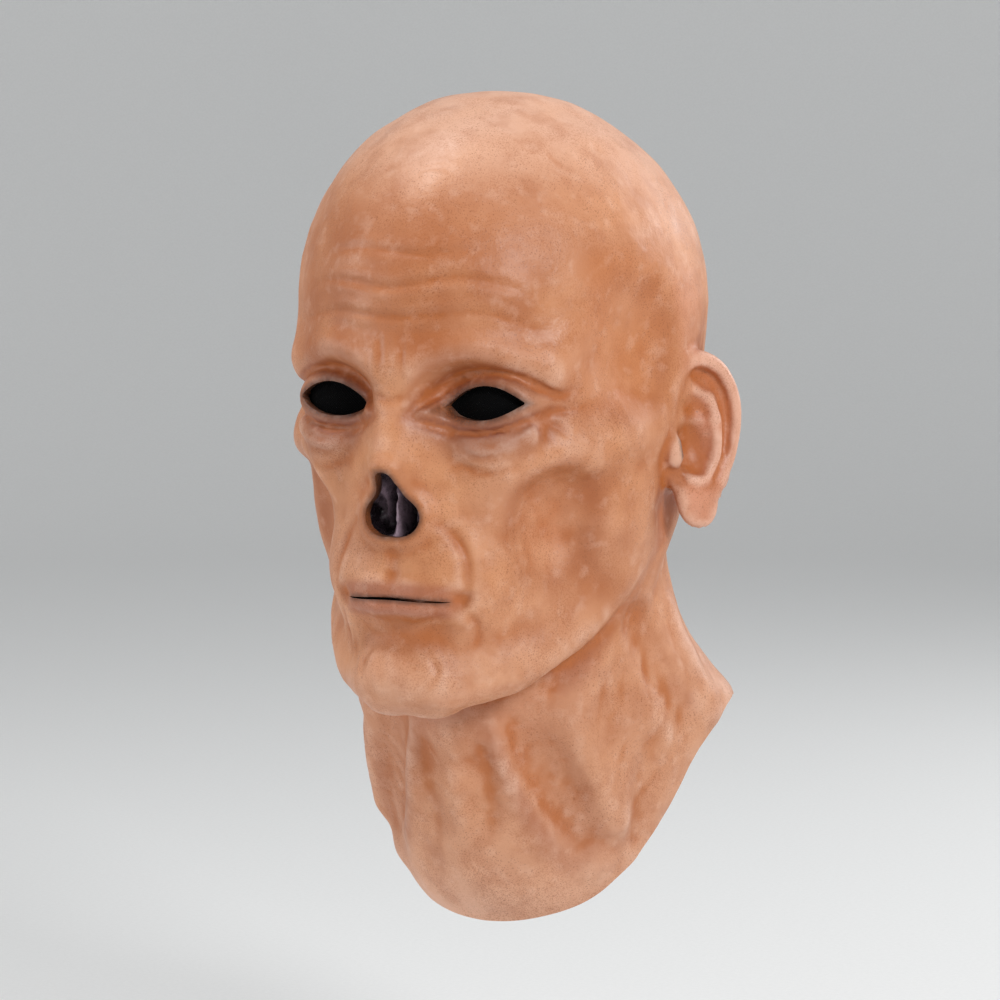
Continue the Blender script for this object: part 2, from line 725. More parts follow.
def fade_along(p, line):
    """Distance to a line in a plane, and how far along it as 0 to 1."""
    best = np.full(len(p), 1e9)
    along = np.zeros(len(p))
    for k, (a, b) in enumerate(zip(line[:-1], line[1:])):
        t = np.clip((p - a) @ (b - a) / ((b - a) @ (b - a)), 0, 1)
        d = np.linalg.norm(p - a - t[:, None] * (b - a), axis=1)
        nearer = d < best
        best = np.where(nearer, d, best)
        along = np.where(nearer, (k + t) / (len(line) - 1), along)
    return best, along


# Grooves of the face as (depth, width, points in x and z), seen from the front
FRONT_GROOVES = [
    (0.7, 1.5, [(-52, 263), (-26, 268), (4, 266), (33, 268.5), (54, 262)]),
    (0.8, 1.7, [(-50, 277), (-28, 281), (2, 278.5), (27, 282), (53, 276)]),
    (0.6, 1.6, [(-40, 291), (-17, 294), (8, 291.5), (38, 293.5)]),
    (0.7, 1.3, [(5, 241), (5.6, 250), (4.2, 259)]),
    (0.7, 1.3, [(-5.4, 242), (-5, 251), (-6.4, 258)]),
    (0.5, 1.3, [(-8, 235), (0, 233), (8, 235.2)]),
]
# The same, mirrored to both sides
PAIRED_GROOVES = [
    (0.6, 1.3, [(19, 221), (30, 215), (43, 216), (52, 222)]),
    (0.6, 1.2, [(22, 217), (34, 209.5), (48, 212)]),
    (0.5, 1.2, [(26, 206), (37, 202.5), (49, 205)]),
    (0.6, 1.2, [(53.5, 233), (58, 235), (63, 240)]),
    (0.6, 1.2, [(54, 229.5), (60, 229), (65, 230)]),
    (0.5, 1.2, [(53, 226), (58, 222), (62, 217)]),
    (0.9, 2.0, [(16.5, 186), (24, 176), (29.5, 163), (31, 152)]),
    (0.7, 1.6, [(28.5, 147), (31, 139), (29.5, 130)]),
    (0.6, 1.6, [(38, 181), (42, 168), (40, 152)]),
    (0.5, 1.3, [(12, 131), (17, 124), (16, 116)]),
]
# Grooves of the neck's sides as (depth, width, points in y and z), mirrored to both sides
SIDE_GROOVES = [
    (0.35, 2.2, [(-2, 150), (-12, 122), (-22, 98), (-25, 70)]),
    (0.35, 2.2, [(14, 152), (8, 120), (-4, 88), (-12, 58)]),
    (0.35, 2.4, [(34, 150), (32, 118), (20, 84), (8, 52)]),
]


def grooved(p, grooves, where):
    """Depth below the surface of a set of grooves, with a soft lip to each side."""
    total = np.zeros(len(p))
    for depth, width, points in grooves:
        line = curve_2d(points)
        low, high = line.min(0) - 4 * width, line.max(0) + 4 * width
        near = where & np.all((p > low) & (p < high), axis=1)
        d, along = fade_along(p[near], line)
        strength = depth * np.sqrt(np.sin(np.clip(along, 0.001, 0.999) * math.pi))
        lip = 0.35 * np.exp(-(((d - 2.2 * width) / (1.2 * width)) ** 2))
        total[near] += strength * (lip - np.exp(-((d / width) ** 2)))
    return total


def relief(q, normals):
    """Height of the skin's wrinkles, folds and lumps above the sculpted form."""
    x, y, z = q.T
    wide = np.abs(x)
    hand = np.sign(x)[:, None]
    front = (y < -35) & (normals[:, 1] < -0.25)
    side = np.abs(normals[:, 0]) > 0.45
    warp = np.column_stack((noise(q, 19, 1), noise(q, 19, 2), noise(q, 23, 3))) * 4.5
    warped = mirrored(q) + warp * 0.35
    total = grooved((warped + hand * warp * 0.15)[:, [0, 2]], PAIRED_GROOVES, front)
    total += grooved((q + warp * 0.3)[:, [0, 2]], FRONT_GROOVES, front)
    total += grooved((warped + hand * warp * 0.3)[:, [1, 2]], SIDE_GROOVES, side)

    sides = step01(wide, 22, 44) * between(z, 122, 150, 286, 312) * fall(y, -20, 8)
    neck = between(z, 6, 40, 128, 168) * fall(y, 48, 74)
    folds = ridged(q + warp * 1.6, (9, 8, 36), 4) ** 2 - 0.45
    creases = ridged(q + warp * 2.0, (10, 10, 44), 5) ** 5 - 0.2
    total += sides * 0.5 * noise(q + warp, 14, 11) + neck * (0.2 * folds - 0.15 * creases)
    total += 0.45 * noise(q, 24, 6) + 0.22 * noise(q, 11, 7)
    dents = 0.5 * step01(noise(q, 13, 9), 0.45, 0.8)
    total += step01(z, 285, 325) * (0.7 * noise(q, (30, 34, 30), 8) - dents)
    line = np.abs(mouth_line(q))
    lips = between(line, 0.6, 1.6, 5, 9) * fall(wide, 18, 25) * (y < -80)
    total += lips * 0.28 * noise(q, (2.6, 40, 13), 10)

    closure = step01(y, 35, 62) * fall(wide, 46, 60) * between(z, 96, 110, 196, 216)
    rim = np.minimum(np.minimum(eye_gap(q), nose_gap(q)), 40)
    kept = (1 - 0.96 * closure) * (1 - 0.75 * step01(wide, 82, 86))
    return total * kept * (0.35 + 0.65 * step01(rim, 2, 8))


# --- The skin's paint
def tone(*srgb):
    """An sRGB colour in 0 to 255 as linear light."""
    share = np.array(srgb) / 255
    return np.where(np.array(srgb) < 11, share / 12.92, ((share + 0.055) / 1.055) ** 2.4)


TAN = tone(209, 143, 99)
BROWN = tone(166, 92, 46)
PALE = tone(240, 198, 175)
PLUM = tone(120, 68, 58)
LIP = tone(164, 92, 64)
PINK = tone(216, 146, 118)
DARK = tone(40, 22, 18)
AMBER = tone(196, 112, 48)
CREAM = tone(226, 205, 168)


def sprayed(colour, coats):
    """The colour with coats of paint laid over it, each as (paint, amount)."""
    for paint, amount in coats:
        colour = colour + (paint - colour) * np.clip(amount, 0, 1)[:, None]
    return colour


def painted(q, normals, tris):
    """The airbrushed colour of each vertex."""
    x, y, z = q.T
    wide = np.abs(x)
    pairs = np.concatenate([tris[:, [k, (k + 1) % 3]] for k in range(3)])
    pairs = np.concatenate((pairs, pairs[:, ::-1]))
    hollow = ((averaged(q, pairs) - q) * normals).sum(1)[:, None]
    low = np.clip(averaged(averaged(hollow, pairs), pairs)[:, 0] / EDGE * 9, -1, 1)
    sunk, shaded = (1 - sculpt(q + normals * t) / t for t in (5.0, 14.0))
    broad, patchy = noise(q, 45, 21), noise(q, 16, 22) * (0.4 + 0.6 * step01(z, 104, 148))
    crown = step01(z, 300, 350) * (0.75 + 0.25 * patchy)
    ear = step01(wide, 82, 88) * step01(z, 168, 178)
    sides = step01(wide, 50, 68) * fall(y, 0, 30)
    nose = nose_gap(q)
    openings = np.minimum(eye_gap(q), nose)
    eyes = np.hypot((wide - EYE_X) / 1.2, z - EYE_Z + 2) + 60 * (y > FACE_Y)
    line = np.abs(mouth_line(q)) + 60 * (y >= -75)
    brow = between(z, 238, 256, 296, 334) * fall(wide, 44, 66) * (y < -20)
    temple = step01(wide, 56, 72) * between(z, 216, 236, 284, 306) * fall(y, -24, 4)
    bib = 0.25 * fall(z, 4, 42) + 0.14 * fall(z, 108, 140) * fall(low, 0, 0.3)
    streaks = step01(noise(q, (7, 12, 42), 23), 0.1, 0.6) * fall(wide, 20, 34) * (y < 10)
    return sprayed(np.repeat(TAN[None], len(q), axis=0), [
        (PALE, 0.15 * step01(broad, -0.5, 0.6)),
        (PALE, 0.78 * crown),
        (PINK, 0.45 * ear),
        (BROWN, (1 - 0.7 * crown) * (0.16 + 0.22 * patchy + 0.16 * broad + 0.12 * sides)),
        (BROWN, 0.62 * step01(sunk, 0.02, 0.42) + 0.45 * step01(shaded, 0.05, 0.5)),
        (BROWN, 0.9 * step01(low, 0.03, 0.6) * (1 - 0.4 * crown)),
        (PINK, 0.35 * ear),
        (PALE, 0.45 * step01(-low, 0.08, 0.8) * step01(openings, 3, 9)),
        (PLUM, 0.66 * (1 - step01(eyes, 8, 27 + 4 * patchy))),
        (BROWN, 0.5 * fall(nose, 0, 9)),
        (DARK, 0.75 * fall(openings, 0, 2.6)),
        (DARK, 0.8 * fall(canal_gap(q), 0, 2.4)),
        (LIP, 0.75 * fall(line, 5, 9) * fall(wide, 20, 28)),
        (DARK, 0.7 * fall(line, 0.8, 2.2) * fall(wide, 20, 25)),
        (BROWN, 0.28 * between(z, 60, 92, 96, 122) * fall(y, -10, 14)),
        (BROWN, brow * (0.6 + 0.24 * patchy)),
        (AMBER, temple * (0.3 + 0.2 * patchy)),
        (AMBER, 0.4 * step01(low, 0.02, 0.5) * (y < 30)),
        (PALE, bib),
        (BROWN, 0.4 * streaks * between(z, 14, 36, 78, 104)),
    ])


# --- Blender objects
def thing(name, points, faces, materials, index=None):
    """An object from design millimetres, linked to the scene."""
    mesh = bpy.data.meshes.new(name)
    mesh.from_pydata((np.asarray(points) * MM).tolist(), [], faces)
    if index is not None:
        mesh.polygons.foreach_set("material_index", np.asarray(index, np.int32))
    mesh.shade_smooth()
    for material in materials:
        mesh.materials.append(material)
    mesh.validate()
    piece = bpy.data.objects.new(name, mesh)
    bpy.context.scene.collection.objects.link(piece)
    return piece


def stored(piece, name, kind, values):
    """Values kept on a piece's vertices for its material: FLOAT_COLOR or FLOAT_VECTOR."""
    field = "color" if kind == "FLOAT_COLOR" else "vector"
    made = piece.data.attributes.new(name, kind, "POINT")
    made.data.foreach_set(field, np.asarray(values, np.float32).ravel())


def sharpen(mesh, loops):
    """Marks the edges along closed loops of vertices as sharp."""
    ends = np.zeros(len(mesh.edges) * 2, np.int32)
    mesh.edges.foreach_get("vertices", ends)
    ends = np.sort(ends.reshape(-1, 2), axis=1).astype(np.int64)
    wanted = np.concatenate([np.sort(np.column_stack((loop, np.roll(loop, -1))), axis=1) for loop in loops])
    count = len(mesh.vertices)
    sharp = np.isin(ends[:, 0] * count + ends[:, 1], wanted[:, 0] * count + wanted[:, 1])
    mesh.attributes.new("sharp_edge", "BOOLEAN", "EDGE").data.foreach_set("value", sharp)


HEM_LOOP = 200  # only the hem's loop has more vertices than this
SPACE_LOW, SPACE_HIGH = (-108, -118, -16), (108, 120, 366)


def skin_meshes():
    """The outer and the inner skin, each cut open, as points and triangles."""
    points, quads = surface(sculpt, SPACE_LOW, SPACE_HIGH, OUTER_STEP)
    x, y, z = points[quads].mean(1).T
    detailed = (y < 24) | ((np.abs(x) > 80) & (y < 48)) | (np.hypot(x, z - SLIT_TOP_Z) < 12)
    points, tris = refined(points, quads, detailed)
    points = relaxed(points, tris, sculpt, 3)
    points = settled(points, sculpt, 2)
    normals = normals_of(points, tris)
    points = points + normals * relief(points, normals)[:, None]
    outer = opened(points, tris, EDGE, LIPS_APART)

    shell, shell_quads = surface(bare_head, SPACE_LOW, SPACE_HIGH, INNER_STEP)
    shell = settled(shell, bare_head, 2)
    tree = BVHTree.FromPolygons(shell.tolist(), shell_quads.tolist())

    def inside(q):
        d = bare_head(q)
        close = np.abs(d) < 16
        d[close] = np.sign(d[close]) * [tree.find_nearest(p)[3] for p in q[close].tolist()]
        return d + LINING_DEPTH

    points, quads = surface(inside, SPACE_LOW, SPACE_HIGH, INNER_STEP)
    points = points * 0.5 + averaged(points, links(quads)) * 0.5
    near = np.array([tree.find_nearest(p)[0] for p in points.tolist()])
    away = points - near
    points = near + away * (LINING_DEPTH / np.maximum(np.linalg.norm(away, axis=1), 1e-6))[:, None]
    tris = triangles(points, quads)
    lining = BVHTree.FromPolygons(points.tolist(), tris.tolist())
    return outer, opened(points, tris, INNER_STEP, LINING_APART), lining


def build_skin(paint, raw):
    """The cast latex skin, closed round every opening, and a tree of its inner surface for the fittings."""
    (outer, outer_tris), (inner, inner_tris), lining = skin_meshes()
    normals = normals_of(outer, outer_tris)
    colour = painted(outer, normals, outer_tris)
    points = np.concatenate((outer, inner))
    outside = loops_of(outer_tris)
    within = [loop + len(outer) for loop in loops_of(inner_tris)]
    rims, coated = [], []
    for loop in outside:
        middle = points[loop].mean(0)
        match = min(within, key=lambda other: np.linalg.norm(points[other].mean(0) - middle))
        wall = stitched(points, loop, match)
        rims += wall
        coated += [len(loop) < HEM_LOOP] * len(wall)
    tris = np.concatenate((outer_tris, inner_tris[:, ::-1] + len(outer), np.array(rims, int)))
    index = np.concatenate((np.zeros(len(outer_tris)), np.ones(len(inner_tris)), 1 - np.array(coated)))
    skin = thing("latex_skin", points, tris.tolist(), [paint, raw], index)
    sharpen(skin.data, outside + within)
    whole = np.ones((len(points), 4), np.float32)
    whole[:len(outer), :3] = colour
    whole[len(outer):, :3] = CREAM
    for loop in within:
        if len(loop) < HEM_LOOP:
            whole[loop, :3] = DARK
    stored(skin, "paint", "FLOAT_COLOR", whole)
    return skin, lining


# --- Materials
class Shader:
    """A Principled material in the making. Its place is the point shaded, in metres of the row's frame."""

    def __init__(self, name, **inputs):
        self.made = bpy.data.materials.new(name)
        self.made.use_nodes = True
        self.tree = self.made.node_tree
        self.base = self.tree.nodes["Principled BSDF"]
        for key, value in inputs.items():
            self.base.inputs[key.replace("_", " ")].default_value = value
        self.place = self.node("TexCoord").outputs["Object"]

    def node(self, kind, inputs=None, **settings):
        """A node with its settings, whose inputs are values, colours or other nodes' outputs."""
        made = self.tree.nodes.new("ShaderNode" + kind)
        for key, value in settings.items():
            setattr(made, key, value)
        for key, value in (inputs or {}).items():
            if isinstance(value, bpy.types.NodeSocket):
                self.tree.links.new(value, made.inputs[key])
            else:
                made.inputs[key].default_value = (*value, 1.0) if isinstance(value, np.ndarray) else value
        return made

    def kept(self, name, output):
        """A value stored on the piece's vertices."""
        return self.node("Attribute", attribute_name=name).outputs[output]

    def scaled(self, where, factors):
        """A place with each of its axes multiplied."""
        return self.node("Mapping", {"Vector": where, "Scale": factors}).outputs["Vector"]

    def maths(self, operation, *values):
        """One step of arithmetic on values or outputs."""
        return self.node("Math", dict(enumerate(values)), operation=operation).outputs[0]

    def times(self, first, second):
        """Two values multiplied."""
        return self.maths("MULTIPLY", first, second)

    def ramp(self, value, low, high, bottom=0.0, top=1.0):
        """A value stretched from low..high to bottom..top."""
        inputs = {"Value": value, "From Min": low, "From Max": high, "To Min": bottom, "To Max": top}
        return self.node("MapRange", inputs, interpolation_type="SMOOTHSTEP").outputs["Result"]

    def noise(self, scale, detail=2.0, where=None):
        """Noise with a feature size of 1/scale metres."""
        inputs = {"Vector": where or self.place, "Scale": scale, "Detail": detail}
        return self.node("TexNoise", inputs).outputs["Fac"]

    def grain(self, scale, low, high, detail, amount=None, where=None):
        """Noise turned to 0 below low and to amount, or else 1, above high."""
        value = self.ramp(self.noise(scale, detail, where), low, high)
        return value if amount is None else self.times(value, amount)

    def dots(self, scale, size, share):
        """Round dots in a random share of the cells of a lattice."""
        cells = self.node("TexVoronoi", {"Vector": self.place, "Scale": scale})
        spot = self.ramp(cells.outputs["Distance"], size * 0.55, size, 1.0, 0.0)
        draw = self.node("SeparateColor", {"Color": cells.outputs["Color"]}).outputs["Red"]
        return self.times(spot, self.ramp(draw, 1 - share - 0.03, 1 - share + 0.03))

    def mixed(self, amount, first, second):
        """Two colours mixed."""
        made = self.node("Mix", {0: amount}, data_type="RGBA")
        for socket, value in ((made.inputs[6], first), (made.inputs[7], second)):
            if isinstance(value, np.ndarray):
                socket.default_value = (*value, 1.0)
            else:
                self.tree.links.new(value, socket)
        return made.outputs[2]

    def driven(self, name, value):
        """Drives one of the shader's inputs."""
        self.tree.links.new(value, self.base.inputs[name])

    def bumped(self, height, distance, strength=1.0, below=None):
        """Drives the normal from a height, on top of another bump's output if given."""
        inputs = {"Height": height, "Distance": distance, "Strength": strength}
        if below is not None:
            inputs["Normal"] = below
        made = self.node("Bump", inputs)
        self.driven("Normal", made.outputs["Normal"])
        return made


def latex_material():
    """Satin latex with airbrushed paint, fine speckle and pores."""
    s = Shader("painted_latex", Specular_IOR_Level=0.5)
    colour = s.mixed(s.grain(85, 0.42, 0.72, 5, 0.3), s.kept("paint", "Color"), BROWN)
    colour = s.mixed(s.grain(150, 0.5, 0.75, 4, 0.18), colour, PALE)
    mist = s.times(s.grain(1500, 0.46, 0.66, 2), s.grain(55, 0.3, 0.7, 3))
    colour = s.mixed(s.times(mist, 0.45), colour, BROWN)
    cloud = s.grain(38, 0.34, 0.62, 3)
    specks = ((420, 0.26, 0.12, 0.42), (860, 0.34, 0.4, 0.52), (1500, 0.42, 0.5, 0.45))
    for scale, size, share, strength in specks:
        speck = s.times(s.dots(scale, size, share), cloud)
        colour = s.mixed(s.times(speck, strength), colour, BROWN * 0.7)
    s.driven("Base Color", colour)
    s.driven("Roughness", s.ramp(s.noise(60.0, 4.0), 0.3, 0.7, 0.41, 0.54))
    first = s.bumped(s.noise(210.0, 3.0), 0.0007, 0.5)
    s.bumped(s.noise(900.0), 0.00016, 0.5, first.outputs["Normal"])
    return s.made


def raw_latex_material():
    """The cream latex of the inside and the cut edges, with its drain marks."""
    s = Shader("raw_latex", Specular_IOR_Level=0.45)
    runs = s.scaled(s.place, (1.0, 1.0, 0.25))
    colour = s.mixed(s.grain(110, 0.42, 0.7, 4, 0.4, runs), s.kept("paint", "Color"), tone(204, 172, 122))
    s.driven("Base Color", s.mixed(s.grain(620, 0.6, 0.7, 2, 0.25), colour, tone(240, 228, 200)))
    s.driven("Roughness", s.ramp(s.noise(90.0), 0.3, 0.7, 0.42, 0.6))
    s.bumped(s.noise(160.0, 4.0, runs), 0.0012, 0.5)
    return s.made


def liner_material():
    """Glossy dark paint inside the nose, dry-brushed with grey."""
    s = Shader("dark_latex_paint", Specular_IOR_Level=0.6)
    dark = tone(16, 12, 15)
    s.driven("Base Color", s.mixed(s.grain(260, 0.45, 0.7, 4, 0.45), s.kept("paint", "Color"), dark))
    s.driven("Roughness", s.ramp(s.noise(300.0), 0.3, 0.7, 0.16, 0.34))
    s.bumped(s.noise(380.0, 3.0), 0.0008, 0.6)
    return s.made


def cloth_material(name, colour, across, along, depth, roughness=0.85, sheen=0.3, twill=False, shine=0.5):
    """A weave with the given thread counts per metre, over the piece's own cloth coordinates."""
    s = Shader(name, Roughness=roughness, Sheen_Weight=sheen, Sheen_Roughness=0.4, Specular_IOR_Level=shine)
    parts = s.node("SeparateXYZ", {"Vector": s.kept("cloth", "Vector")})
    warp = s.times(parts.outputs["X"], across * 2 * math.pi)
    weft = s.times(parts.outputs["Y"], along * 2 * math.pi)
    if twill:
        weft = s.maths("ADD", weft, warp)
    height = s.ramp(s.times(s.maths("SINE", warp), s.maths("SINE", weft)), -1, 1)
    dark = s.mixed(s.times(height, 0.75), colour * 0.45, colour * 1.5)
    s.driven("Base Color", s.mixed(s.grain(500, 0.3, 0.75, 3, 0.4), dark, colour))
    s.bumped(height, depth, 0.9)
    return s.made


def foam_material():
    """Open-cell foam, charcoal."""
    s = Shader("open_cell_foam", Roughness=0.95, Sheen_Weight=0.2)
    cells = s.node("TexVoronoi", {"Vector": s.place, "Scale": 620.0}, feature="DISTANCE_TO_EDGE")
    walls = s.ramp(cells.outputs["Distance"], 0.02, 0.22)
    colour = s.mixed(walls, tone(104, 104, 108), tone(38, 38, 41))
    s.driven("Base Color", s.mixed(s.grain(70, 0.4, 0.7, 3, 0.3), colour, tone(72, 70, 70)))
    s.bumped(walls, 0.0009, 0.8).invert = True
    return s.made


def pile_material(name, colour, scale, depth):
    """Hook or loop tape: a dense pile of small tufts."""
    s = Shader(name, Roughness=0.9, Sheen_Weight=0.5, Sheen_Roughness=0.5)
    tufts = s.node("TexVoronoi", {"Vector": s.kept("cloth", "Vector"), "Scale": scale, "Randomness": 0.35})
    height = s.ramp(tufts.outputs["Distance"], 0.05, 0.6, 1.0, 0.0)
    s.driven("Base Color", s.mixed(height, colour * 0.3, colour * 2.2))
    s.bumped(height, depth, 0.9)
    return s.made


def metal_material(name, colour, roughness, worn, brushed):
    """Plated metal with tarnish, and a turned or brushed grain."""
    s = Shader(name, Metallic=1.0)
    s.driven("Base Color", s.mixed(s.grain(330, 0.4, 0.66, 4), colour, worn))
    lines = s.noise(900.0, 2.0, s.scaled(s.place, brushed))
    s.driven("Roughness", s.ramp(lines, 0.3, 0.7, roughness - 0.08, roughness + 0.14))
    s.bumped(lines, 0.00005, 0.5)
    return s.made


def plain_material(name, colour, scale, spread=0.15):
    """Thread and the like: one colour with a little variation."""
    s = Shader(name, Roughness=0.7)
    s.driven("Base Color", s.mixed(s.grain(scale, 0.3, 0.7, 3), colour * (1 - spread), colour))
    return s.made


def paper_material():
    """Pale paper with a faint glow, seen through from behind."""
    made = plain_material("pale_paper", tone(226, 227, 227), 400.0, 0.03)
    tree = made.node_tree
    base = tree.nodes["Principled BSDF"]
    base.inputs["Emission Color"].default_value = (1, 1, 1, 1)
    base.inputs["Emission Strength"].default_value = 0.08
    kinds = ("NewGeometry", "BsdfTransparent", "MixShader")
    behind, clear, both = (tree.nodes.new("ShaderNode" + kind) for kind in kinds)
    outputs = (behind.outputs["Backfacing"], base.outputs["BSDF"], clear.outputs["BSDF"])
    for socket, output in enumerate(outputs):
        tree.links.new(output, both.inputs[socket])
    tree.links.new(both.outputs["Shader"], tree.nodes["Material Output"].inputs["Surface"])
    return made


# --- Fittings
def middle_of(name):
    """The centre of a CAD node's box in design millimetres."""
    low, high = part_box(name)
    return np.array((low + high) / 2) / MM


def cast(tree, origin, direction):
    """Where a ray from inside the head meets the closed inner skin."""
    return np.array(tree.ray_cast(Vector(origin), Vector(direction))[0])


def inward(points):
    """Unit directions from the skin into the head."""
    slope = gradient(bare_head, np.asarray(points), 1.5)[1]
    return -slope / np.linalg.norm(slope, axis=1)[:, None]


def oval(width, height, count=48, power=2.0):
    """The outline of a superellipse."""
    turn = np.arange(count) * 2 * math.pi / count
    c, s = np.cos(turn), np.sin(turn)
    return np.column_stack((np.sign(c) * np.abs(c) ** (2 / power) * width / 2,
                            np.sign(s) * np.abs(s) ** (2 / power) * height / 2))


def laid(outline, centre, rings, place):
    """Rings of points from an outline to its centre: their shares of the way out, flat, and on the skin."""
    shares = 1 - np.arange(rings) / rings
    flat = np.concatenate([centre + (outline - centre) * r for r in shares] + [centre[None]])
    return np.append(np.repeat(shares, len(outline)), 0), flat, np.array([place(a, b) for a, b in flat])


def disc_faces(rings, count, flip, first=0):
    """Faces of a disc of rings, outermost first, that ends in one centre vertex."""
    faces = []
    for k in range(rings - 1):
        for j in range(count):
            a, b = first + k * count + j, first + k * count + (j + 1) % count
            faces.append((a, b, b + count, a + count))
    last = first + (rings - 1) * count
    faces += [(last + j, last + (j + 1) % count, first + rings * count) for j in range(count)]
    return [face[::-1] for face in faces] if flip else faces


def sheet_faces(rings, count):
    """Faces of a closed sheet: two discs and the wall between their outlines."""
    half = rings * count + 1
    wall = [(j, half + j, half + (j + 1) % count, (j + 1) % count) for j in range(count)]
    return disc_faces(rings, count, False) + disc_faces(rings, count, True, half) + wall


def closed_piece(name, points, faces, materials, coords=None, index=None):
    """A closed object with its faces turned outwards and its cloth coordinates."""
    piece = thing(name, points, faces, materials, index)
    work = bmesh.new()
    work.from_mesh(piece.data)
    bmesh.ops.recalc_face_normals(work, faces=work.faces)
    work.to_mesh(piece.data)
    work.free()
    piece.data.set_sharp_from_angle(angle=math.radians(50))
    if coords is not None:
        spread = np.column_stack((np.asarray(coords) * MM, np.zeros(len(coords))))
        stored(piece, "cloth", "FLOAT_VECTOR", spread)
    return piece


def fitted(name, outline, place, thickness, rings, made, crown=0.0, bulge=None):
    """A sheet or pad laid on the inner skin. Its edge rolls over crown's share of its radius."""
    share, flat, base = laid(outline, outline.mean(0), rings, place)
    into = inward(base)
    edge = np.clip((1 - share) / crown, 0, 1) if crown else np.ones(len(share))
    depth = thickness * (0.2 + 0.8 * np.sqrt(1 - (1 - edge) ** 2))
    if bulge is not None:
        depth = depth + bulge(flat)
    points = np.concatenate((base + into * GLUE, base + into * (GLUE + depth)[:, None]))
    return closed_piece(name, points, sheet_faces(rings, len(outline)), [made], np.concatenate((flat, flat)))


def stitches(path, lift, place, length=2.2, gap=1.0, width=0.42):
    """Threads along a closed or open path in a fitting's own plane, as points and faces."""
    path = np.asarray(path, float)
    steps = np.append(0, np.cumsum(np.linalg.norm(np.diff(path, axis=0), axis=1)))
    points, faces = [], []
    for start in np.arange(0, steps[-1] - length, length + gap):
        sides = [np.column_stack([np.interp(start + length * t, steps, path[:, k]) for k in (0, 1)])
                 for t in (0, 0.15, 0.5, 0.85, 1)]
        spine = np.concatenate(sides)
        along = spine[-1] - spine[0]
        across = np.array((-along[1], along[0])) / np.linalg.norm(along)
        first = len(points)
        for (a, b), size in zip(spine, (0.15, 0.8, 1.0, 0.8, 0.15)):
            for turn in range(6):
                side, rise = math.cos(turn * math.pi / 3), math.sin(turn * math.pi / 3)
                points.append((a + across[0] * side * size * width, b + across[1] * side * size * width,
                               lift + (rise * size + size - 1) * width))
        for ring in range(4):
            for turn in range(6):
                a, b = first + ring * 6 + turn, first + ring * 6 + (turn + 1) % 6
                faces.append((a, b, b + 6, a + 6))
        faces += [tuple(range(first, first + 6))[::-1], tuple(range(first + 24, first + 30))]
    return place(np.array(points)), faces


def joined(name, pieces):
    """Several objects as one, under the name given."""
    bpy.ops.object.select_all(action="DESELECT")
    for piece in pieces:
        piece.select_set(True)
    bpy.context.view_layer.objects.active = pieces[0]
    bpy.ops.object.join()
    pieces[0].name = pieces[0].data.name = name
    return pieces[0]


def nose_outline(beyond, middle, count=72):
    """The outline at a distance outside the nasal opening, about a point in x and z."""
    loop = []
    for turn in np.arange(count) * 2 * math.pi / count:
        low, high = 0.0, 30.0
        for _ in range(24):
            r = (low + high) / 2
            spot = np.array([(r * math.cos(turn), -100.0, middle + r * math.sin(turn))])
            low, high = (r, high) if nose_gap(spot)[0] < beyond else (low, r)
        loop.append((low * math.cos(turn), middle + low * math.sin(turn)))
    return np.array(loop)


def nasal_cup(place, made):
    """The dark cavity behind the nasal opening: a thin cup with a septum and soft folds inside."""
    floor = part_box("nasal_liner")[1].y / MM - 1.6
    middle, rings, rim_lap, wall = 189.5, 30, 3.6, 1.2
    loop = nose_outline(rim_lap, middle)
    flat, base = laid(loop, np.array((0, middle)), rings, place)[1:]
    base += inward(base) * GLUE
    x, z = flat.T
    wide = np.abs(x)
    gap = nose_gap(np.column_stack((x, np.full(len(x), -100.0), z)))
    deep = 1 - np.exp(np.clip(gap - 0.4, None, 0) / 2.6)
    fill = 0.74 * np.exp(-((x / 2.1) ** 2)) * (1 - 0.25 * step01(z, 186, 200))
    curl = wide - 5.6 - 1.2 * np.sin((z - 178) / 5.5)
    fill += 0.42 * np.exp(-((curl / 1.6) ** 2)) * between(z, 179, 184, 196, 203)
    fill += 0.2 * np.exp(-(((wide - 9.5) / 1.3) ** 2)) * step01(z, 179, 184)
    fill += 0.16 + 0.08 * noise(np.column_stack((x, x * 0, z)), 3.2, 31)
    depth = deep * (floor - base[:, 1]) * (1 - np.clip(fill, 0, 0.86))
    front = base + np.outer(depth, (0, 1, 0))
    points = np.concatenate((front, front + (0, wall, 0)))
    piece = closed_piece("nasal_cup", points, sheet_faces(rings, len(loop)), [made])
    shade = np.clip(fill * 1.5 - 0.3, 0, 1)[:, None]
    colour = tone(24, 17, 21) + (tone(168, 144, 158) - tone(24, 17, 21)) * shade
    colour = np.column_stack((colour, np.ones(len(colour))))
    stored(piece, "paint", "FLOAT_COLOR", np.concatenate((colour, colour)))
    return piece


# --- Straps, in x, z and height off the nape
STRAP_TIP, STRAP_ROOT = -36.0, 33.0
FOLD_X, ANCHOR_START = 12.0, 13.6
STRAP_HALF = 0.75
TOP_LAYER, LOW_LAYER = 3.05, 1.0
STRAP_HEIGHT = 22.0
TAPE_X = (-34.0, -9.0)
BEND = 3.9  # how much webbing goes round the fold


def on_nape(points):
    """Points given as x, z and height off the skin of the nape."""
    x, z, lift = np.asarray(points, float).T
    q = np.column_stack((x, np.full(len(x), 85.0), z))
    for _ in range(8):
        value, slope = gradient(bare_head, q, 0.3)
        q[:, 1] -= value / slope[:, 1]
    normal = -inward(q)
    return q + normal * lift[:, None]


